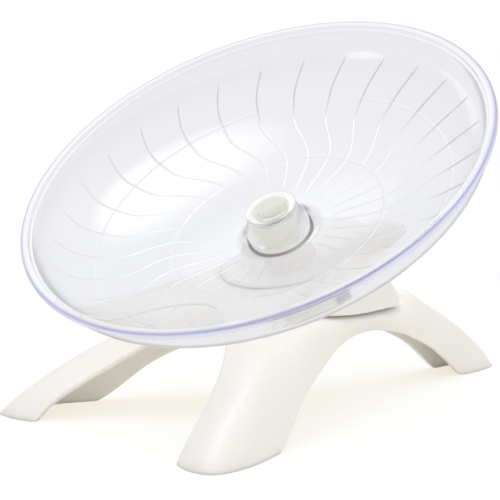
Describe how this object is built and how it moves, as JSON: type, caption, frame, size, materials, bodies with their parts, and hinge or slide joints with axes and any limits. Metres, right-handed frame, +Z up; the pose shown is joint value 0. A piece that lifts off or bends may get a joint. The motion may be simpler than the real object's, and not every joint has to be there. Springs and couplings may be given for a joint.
{
  "type": "flying saucer wheel",
  "caption": "Clear tilted running dish that spins on a ball bearing hub above a white legged stand, for small pets.",
  "frame": {"origin": "on the floor, under the middle of the bounding box of the whole object", "axes": "+Z up; -Y towards the low side of the tilted dish; +X to the right seen from that low side"},
  "size_m": [0.18, 0.1998, 0.1352],
  "materials": {
    "clear_plastic": "clear injection-moulded polystyrene, high gloss, faint blue tint at the rim",
    "clear_cap": "clear polystyrene, high gloss",
    "cream_nylon": "off-white nylon, smooth",
    "cage_nylon": "natural nylon",
    "white_plastic": "warm white ABS, satin gloss",
    "steel": "plain turned steel",
    "ball_steel": "polished bearing steel"
  },
  "bodies": {
    "base": {"stand": "white_plastic", "neck": "white_plastic", "stand_screw_1": "steel", "stand_screw_2": "steel", "stand_screw_3": "steel", "spindle": "steel", "race_spacer": "steel", "washer": "steel", "spindle_screw": "steel", "upper_bearing_inner_race": "steel", "lower_bearing_inner_race": "steel"},
    "dish": {"saucer": "clear_plastic", "hub_cap": "clear_cap", "bearing_sleeve": "cream_nylon", "upper_bearing_outer_race": "steel", "upper_bearing_top_shield": "steel", "upper_bearing_bottom_shield": "steel", "lower_bearing_outer_race": "steel", "lower_bearing_top_shield": "steel", "lower_bearing_bottom_shield": "steel"},
    "upper_cage": {"upper_bearing_cage": "cage_nylon", "upper_bearing_ball_1": "ball_steel", "upper_bearing_ball_2": "ball_steel", "upper_bearing_ball_3": "ball_steel", "upper_bearing_ball_4": "ball_steel", "upper_bearing_ball_5": "ball_steel", "upper_bearing_ball_6": "ball_steel", "upper_bearing_ball_7": "ball_steel"},
    "lower_cage": {"lower_bearing_cage": "cage_nylon", "lower_bearing_ball_1": "ball_steel", "lower_bearing_ball_2": "ball_steel", "lower_bearing_ball_3": "ball_steel", "lower_bearing_ball_4": "ball_steel", "lower_bearing_ball_5": "ball_steel", "lower_bearing_ball_6": "ball_steel", "lower_bearing_ball_7": "ball_steel"}
  },
  "joints": [
    {"name": "saucer_spin", "type": "hinge", "parent": "base", "child": "dish", "pos_m": [0, -0.02253, 0.0905], "axis": [0, -0.5, 0.866], "continuous": true},
    {"name": "upper_cage_spin", "type": "hinge", "parent": "base", "child": "upper_cage", "pos_m": [0, -0.02253, 0.0905], "axis": [0, -0.5, 0.866], "continuous": true},
    {"name": "lower_cage_spin", "type": "hinge", "parent": "base", "child": "lower_cage", "pos_m": [0, -0.02253, 0.0905], "axis": [0, -0.5, 0.866], "continuous": true}
  ],
  "couplings": [
    {"joint": "upper_cage_spin", "follows": "saucer_spin", "ratio": 0.64},
    {"joint": "lower_cage_spin", "follows": "saucer_spin", "ratio": 0.64}
  ]
}
